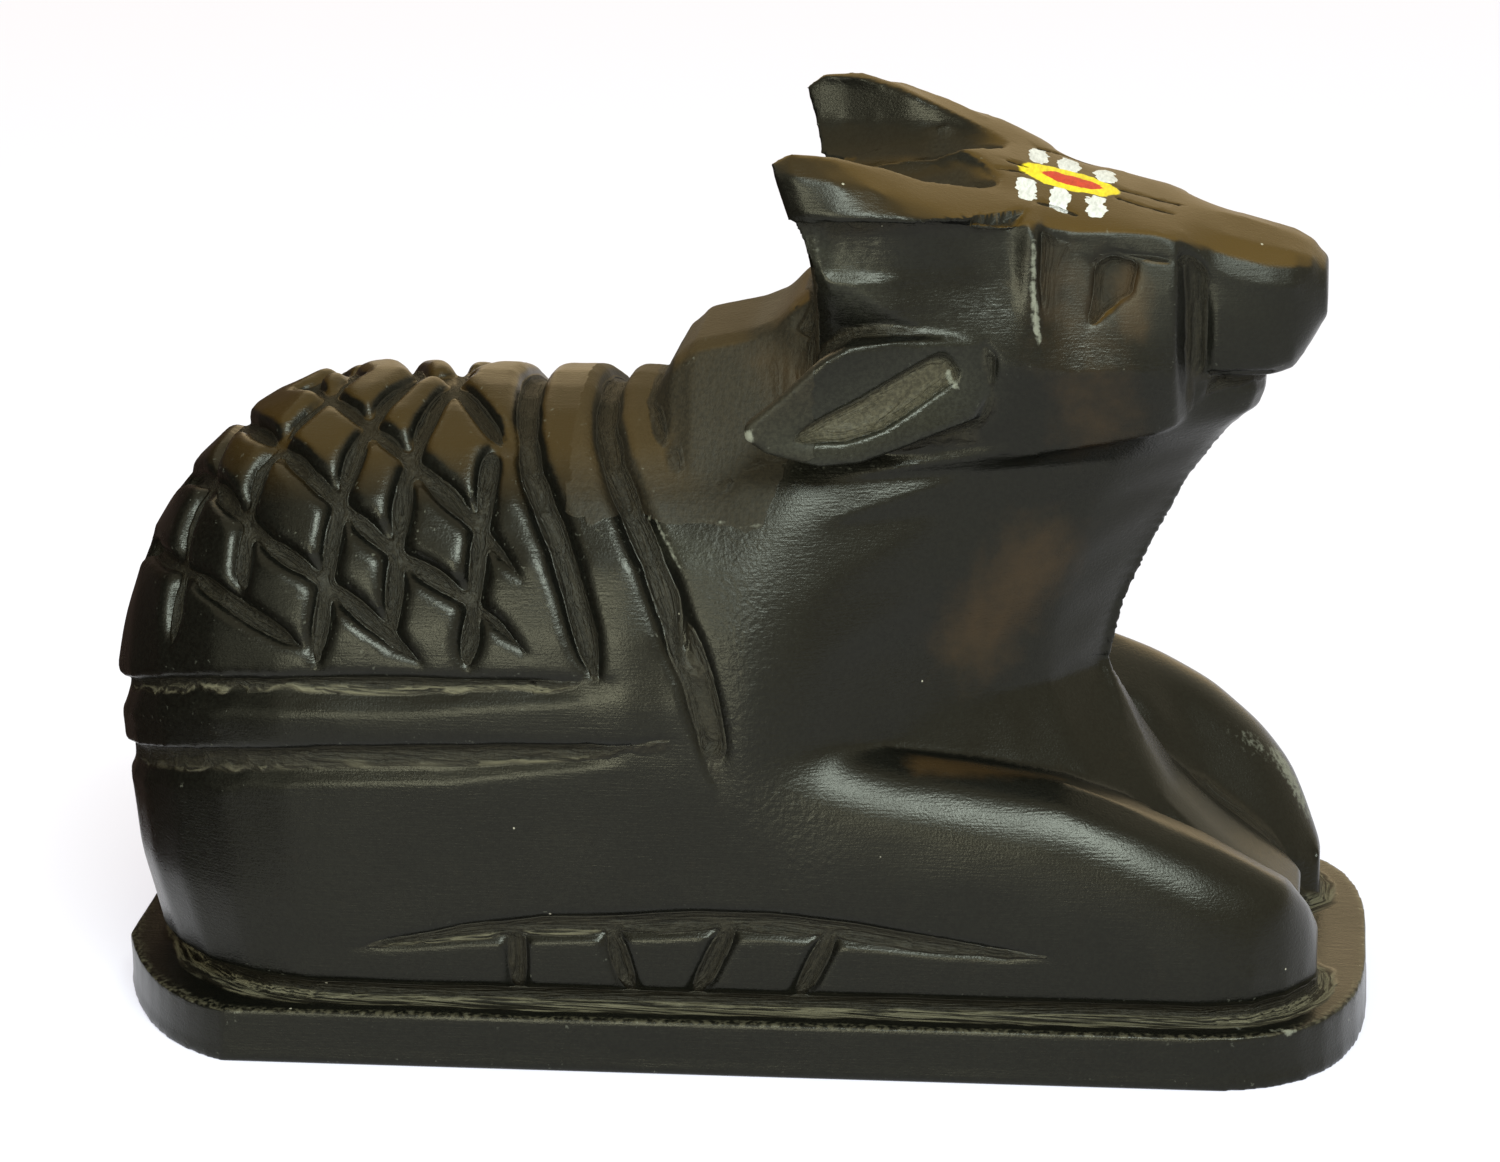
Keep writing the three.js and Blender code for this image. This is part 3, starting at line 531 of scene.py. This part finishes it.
# Painted highlights on the ears' outer faces, the hollow of the temple and the shoulder.
base = blend(tree, math_node(tree, "MULTIPLY", attribute(tree, "pale"), 0.9), base, painted_highlight_color)
recessed = math_node(tree, "MULTIPLY", attribute(tree, "recessed"), 0.85)
base = blend(tree, recessed, base, recess_color)
mottle = ramp(tree, grain(tree, place, mottle_size, 3), 0.35, 0.65, 0.7, 1.35)
base = scaled(tree, base, mottle)

# Painted warm reflection: the up-facing tops are painted brown, as they would mirror the warm wall.
painted_warm_reflection = attribute(tree, "painted_warm_reflection")
warm_reflection_share = math_node(tree, "MULTIPLY", painted_warm_reflection, ramp(tree, upward, 0.45, 0.75))
warm_reflection_share = math_node(tree, "MULTIPLY", warm_reflection_share, ramp(tree, hollow, 0, 1, 1, 0.2))
base = blend(tree, warm_reflection_share, base, warm_reflection_color)

# Painted glints along the file's lines in up-facing cuts, and a painted highlight along the
# plinth's top edge.
plinth_edge_low, plinth_edge_high = 5.8 * mm, 6.6 * mm
file_line_glint = math_node(tree, "MULTIPLY", ramp(tree, sunk_value, 0.03, 0.1),
                 ramp(tree, file_lines, 0.42, 0.62))
plinth_edge_highlight = math_node(tree, "MULTIPLY", ramp(tree, sunk_value, -0.1, -0.2, 0, 0.4),
                      ramp(tree, fine, 0.42, 0.62))
plinth_edge_highlight = math_node(tree, "MULTIPLY", plinth_edge_highlight,
                      ramp(tree, stone_height, plinth_edge_high, plinth_edge_low))
painted_glint = math_node(tree, "MULTIPLY", ramp(tree, upward, 0.2, 0.5),
                  math_node(tree, "MAXIMUM", file_line_glint, plinth_edge_highlight))
painted_glint = math_node(tree, "MULTIPLY", painted_glint, attribute(tree, "painted_glint"))
base = blend(tree, painted_glint, base, glint_color)

# Warm brown: random veining, with a painted warm reflection on the neck and in the eyes and painted
# light in the forelegs' creases.
vein_and_warm_light = math_node(tree, "ADD", attribute(tree, "veins_and_warm_light"), math_node(tree, "MULTIPLY", worn, 0.7))
base = blend(tree, ramp(tree, vein_and_warm_light, 0.4, 1.35, 0, 0.75), base, vein_and_warm_light_color)

# Pale chips on sharp edges and chalky bruises, one of which is a painted highlight on the temple.
chips_bruises_and_highlight = math_node(tree, "MULTIPLY", ridge, ramp(tree, fine, 0.65, 0.77, 0, 0.28))
bruise_and_highlight = attribute(tree, "bruised_and_highlit")
bruise_edge = math_node(tree, "SUBTRACT", math_node(tree, "ADD", bruise_and_highlight, fine), 1.0)
bruise_and_highlight = math_node(tree, "MULTIPLY", ramp(tree, bruise_edge, -0.08, 0.25), bruise_and_highlight)
chips_bruises_and_highlight = math_node(tree, "MAXIMUM", chips_bruises_and_highlight, bruise_and_highlight)
base = blend(tree, chips_bruises_and_highlight, base, bruise_and_highlight_color)

mote_spacing = 2.6 * mm
motes = add(tree, "TexVoronoi", {"Vector": place, "Scale": 1 / mote_spacing})
mote_chance = add(tree, "SeparateColor", {"Color": motes.outputs["Color"]}).outputs[0]
mote = math_node(tree, "MULTIPLY", ramp(tree, motes.outputs["Distance"], 0.05, 0.03),
                 ramp(tree, mote_chance, 0.88, 0.9, 0, 0.6))
base = blend(tree, mote, base, dust_color)

# The mark on the brow is laid on with a brush in three paints: a yellow leaf with a red heart, and
# six short white strokes beside it.
dab_group = bpy.data.node_groups.new("paint_dab", "ShaderNodeTree")
dab_group.interface.new_socket("Place", in_out="INPUT", socket_type="NodeSocketVector")
dab_sizes = ("Centre X", "Centre Y", "Half X", "Half Y", "Squareness")
for name in dab_sizes:
    dab_group.interface.new_socket(name, in_out="INPUT", socket_type="NodeSocketFloat")
dab_group.interface.new_socket("Mask", in_out="OUTPUT", socket_type="NodeSocketFloat")
dab_in = dab_group.nodes.new("NodeGroupInput").outputs
spot = add(dab_group, "SeparateXYZ", {0: dab_in["Place"]}).outputs
shares = []
for axis in ("X", "Y"):
    away = math_node(dab_group, "SUBTRACT", spot[axis], dab_in["Centre " + axis])
    away = math_node(dab_group, "DIVIDE", away, dab_in["Half " + axis])
    away = math_node(dab_group, "ABSOLUTE", away)
    shares.append(math_node(dab_group, "POWER", away, dab_in["Squareness"]))
away = math_node(dab_group, "ADD", *shares)
dab_out = dab_group.nodes.new("NodeGroupOutput")
dab_group.links.new(ramp(dab_group, away, 1.08, 0.92), dab_out.inputs["Mask"])

wobble_size = 1.1 * mm
wobble_reach = (1.1, 1.1, 1.1)
metres_to_mm = (1000, 1000, 1000)
wobble = add(tree, "TexNoise", {"Vector": place, "Scale": 1 / wobble_size, "Detail": 2})
wobble = place_node(tree, "SUBTRACT", wobble.outputs["Color"], (0.5, 0.5, 0.5))
wobble = place_node(tree, "MULTIPLY", wobble, wobble_reach)
brush_place = place_node(tree, "MULTIPLY", place, metres_to_mm)
brush_place = place_node(tree, "ADD", brush_place, wobble)


def dab(centre, half, squareness):
    """Mask of one dab of paint on the brow, with its centre and half size in mm."""
    node = tree.nodes.new("ShaderNodeGroup")
    node.node_tree = dab_group
    tree.links.new(brush_place, node.inputs["Place"])
    for name, value in zip(dab_sizes, (*centre, *half, squareness)):
        node.inputs[name].default_value = value
    return node.outputs["Mask"]


stroke_centres = [(23.4, -4.5), (25.9, -4.6), (28.7, -4.5), (23.8, 3.3), (26.2, 3.3), (29, 3.2)]
stroke_half, stroke_squareness = (0.78, 1.95), 3.2
leaf_centre, leaf_half = (26.5, -0.5), (3.9, 2.2)
heart_centre, heart_half = (26.6, -0.5), (2.4, 1.05)
white_color = (0.47, 0.475, 0.46, 1)
yellow_color = (0.56, 0.44, 0.01, 1)
red_color = (0.38, 0.025, 0.01, 1)
streak_width = 0.24 * mm
on_brow = ramp(tree, stone_height, 58 * mm, 58.5 * mm)
white_paint = None
for centre in stroke_centres:
    stroke = dab(centre, stroke_half, stroke_squareness)
    white_paint = stroke if white_paint is None else math_node(tree, "MAXIMUM", white_paint, stroke)
white_paint = math_node(tree, "MULTIPLY", white_paint, on_brow)
yellow_paint = math_node(tree, "MULTIPLY", dab(leaf_centre, leaf_half, 2), on_brow)
red_paint = math_node(tree, "MULTIPLY", dab(heart_centre, heart_half, 2), on_brow)
base = blend(tree, white_paint, base, white_color)
base = blend(tree, yellow_paint, base, yellow_color)
base = blend(tree, red_paint, base, red_color)
painted = math_node(tree, "MAXIMUM", white_paint, yellow_paint)
streaks = math_node(tree, "SUBTRACT", grain(tree, place, streak_width, 2, stretch=(1, 5, 1)), 0.5)
streaks = math_node(tree, "MULTIPLY_ADD", streaks, math_node(tree, "MULTIPLY", painted, 0.9), 1.0)
tree.links.new(scaled(tree, base, streaks), shader.inputs["Base Color"])

# The polish is glossiest on the open ground, and rougher where it is filed, stippled, chipped,
# bruised or painted, on the painted temple highlight, and on the tops with the painted warm
# reflection.
polished_roughness, matte_roughness, paint_roughness = 0.26, 0.55, 0.55
rough = math_node(tree, "ADD", ramp(tree, matte, 0, 1, polished_roughness, matte_roughness),
                  ramp(tree, patch, 0.35, 0.65, 0, 0.06))
for rougher, amount in ((attribute(tree, "stippled"), 0.12), (painted_warm_reflection, 0.14)):
    rough = math_node(tree, "ADD", rough, math_node(tree, "MULTIPLY", rougher, amount))
rough = math_node(tree, "ADD", rough, math_node(tree, "MULTIPLY", chips_bruises_and_highlight, 0.25), clamp=True)
rough = math_node(tree, "MAXIMUM", rough, math_node(tree, "MULTIPLY", painted, paint_roughness))
tree.links.new(rough, shader.inputs["Roughness"])
shader.inputs["Specular Tint"].default_value = (1, 0.97, 0.81, 1)
shader.inputs["Specular IOR Level"].default_value = 0.24

# Relief too fine to model, each with its depth: the file's lines in the cuts, tool marks on matte
# stone, the pebbled skin, the stippled shoulder and the strokes of the polishing cloth.
tool_marks = grain(tree, place, 0.4 * mm, 3, stretch=(1, 1, 5))
pebble = grain(tree, place, 0.19 * mm, 3)
brushed = grain(tree, place, 0.16 * mm, 2, stretch=(14, 3, 1))
stippled = math_node(tree, "MULTIPLY", attribute(tree, "stippled"),
                     grain(tree, place, 0.5 * mm, 2))
relief = [(math_node(tree, "MULTIPLY", tool_marks, matte), 0.06 * mm), (pebble, 0.024 * mm),
          (stippled, 0.11 * mm), (brushed, 0.02 * mm)]
file_line_depth = 0.32 * mm
height = math_node(tree, "MULTIPLY", math_node(tree, "MULTIPLY", file_lines, hollow),
                   file_line_depth)
for marks, depth in relief:
    height = math_node(tree, "ADD", height, math_node(tree, "MULTIPLY", marks, depth))
bump = add(tree, "Bump", {"Height": height, "Strength": 1.0, "Distance": 1.0})
tree.links.new(bump.outputs[0], shader.inputs["Normal"])

bull.data.materials.clear()
bull.data.materials.append(stone_finish)

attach(bull, "root")
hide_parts("nandi_figure")

# A plain white table runs on far past what the camera sees. It glows a little, so that it comes
# out as white as the photograph's cleared ground.
table_size = 12
table_white = (0.36, 0.36, 0.36, 1)
table_glow = (0.5, 0.5, 0.6, 1)
bpy.ops.object.select_all(action="DESELECT")
bpy.ops.mesh.primitive_plane_add(size=table_size, location=(0, 3, 0))
table_top = bpy.context.object
table_top.name = "table_top"
table_finish = bpy.data.materials.new("white_table")
table_finish.use_nodes = True
table_shader = table_finish.node_tree.nodes["Principled BSDF"]
table_shader.inputs["Base Color"].default_value = table_white
table_shader.inputs["Roughness"].default_value = 0.8
table_shader.inputs["Specular IOR Level"].default_value = 0.1
table_shader.inputs["Emission Color"].default_value = table_glow
table_shader.inputs["Emission Strength"].default_value = 1.0
table_top.data.materials.append(table_finish)

# A dark card stands upright to the left of the bull, where the real one mirrors something dark, and
# shows only in the polish of its rump.
card_place = (-0.068, -0.02, 0.045)
card_size = (0.09, 0.3, 1)
card_color = (0.04, 0.016, 0.008, 1)
bpy.ops.object.select_all(action="DESELECT")
bpy.ops.mesh.primitive_plane_add(size=1, location=card_place, rotation=(0, math.pi / 2, 0))
dark_card = bpy.context.object
dark_card.name = "dark_card"
dark_card.scale = card_size
bpy.ops.object.transform_apply(location=True, rotation=True, scale=True)
dark_card.visible_camera = False
dark_card.visible_diffuse = False
dark_card.visible_shadow = False
card_finish = bpy.data.materials.new("dark_card")
card_finish.use_nodes = True
card_shader = card_finish.node_tree.nodes["Principled BSDF"]
card_shader.inputs["Base Color"].default_value = card_color
card_shader.inputs["Roughness"].default_value = 0.9
dark_card.data.materials.append(card_finish)

# Soft studio light: a pale room all round, a warm wall behind the bull, and two windows behind the
# camera, one high and one low to the left.
room = bpy.data.worlds.new("pale_room")
bpy.context.scene.world = room
room.use_nodes = True
room.node_tree.nodes["Background"].inputs["Color"].default_value = (1, 0.91, 0.68, 1)
room.node_tree.nodes["Background"].inputs["Strength"].default_value = 0.9


def soft_lamp(name, place, size, power, color):
    """A soft rectangular lamp, turned to the middle of the bull."""
    bpy.ops.object.select_all(action="DESELECT")
    facing = (Vector((0, 0, 0.03)) - Vector(place)).to_track_quat("-Z", "Y").to_euler()
    bpy.ops.object.light_add(type="AREA", location=place, rotation=facing)
    lamp = bpy.context.object
    lamp.name = name
    lamp.data.shape = "RECTANGLE"
    lamp.data.size, lamp.data.size_y = size
    lamp.data.energy = power
    lamp.data.color = color


soft_lamp("warm_wall", (-0.128, 1.044, 0.352), (1.25, 0.72), 1.8, (1, 0.6, 0.17))
soft_lamp("high_window", (0.247, -0.61, 0.644), (0.45, 0.22), 10.6, (0.86, 1, 1.04))
soft_lamp("side_window", (-0.299, -0.779, 0.207), (0.5, 0.27), 5.2, (0.97, 1, 0.84))

bpy.context.scene.view_settings.view_transform = "Standard"
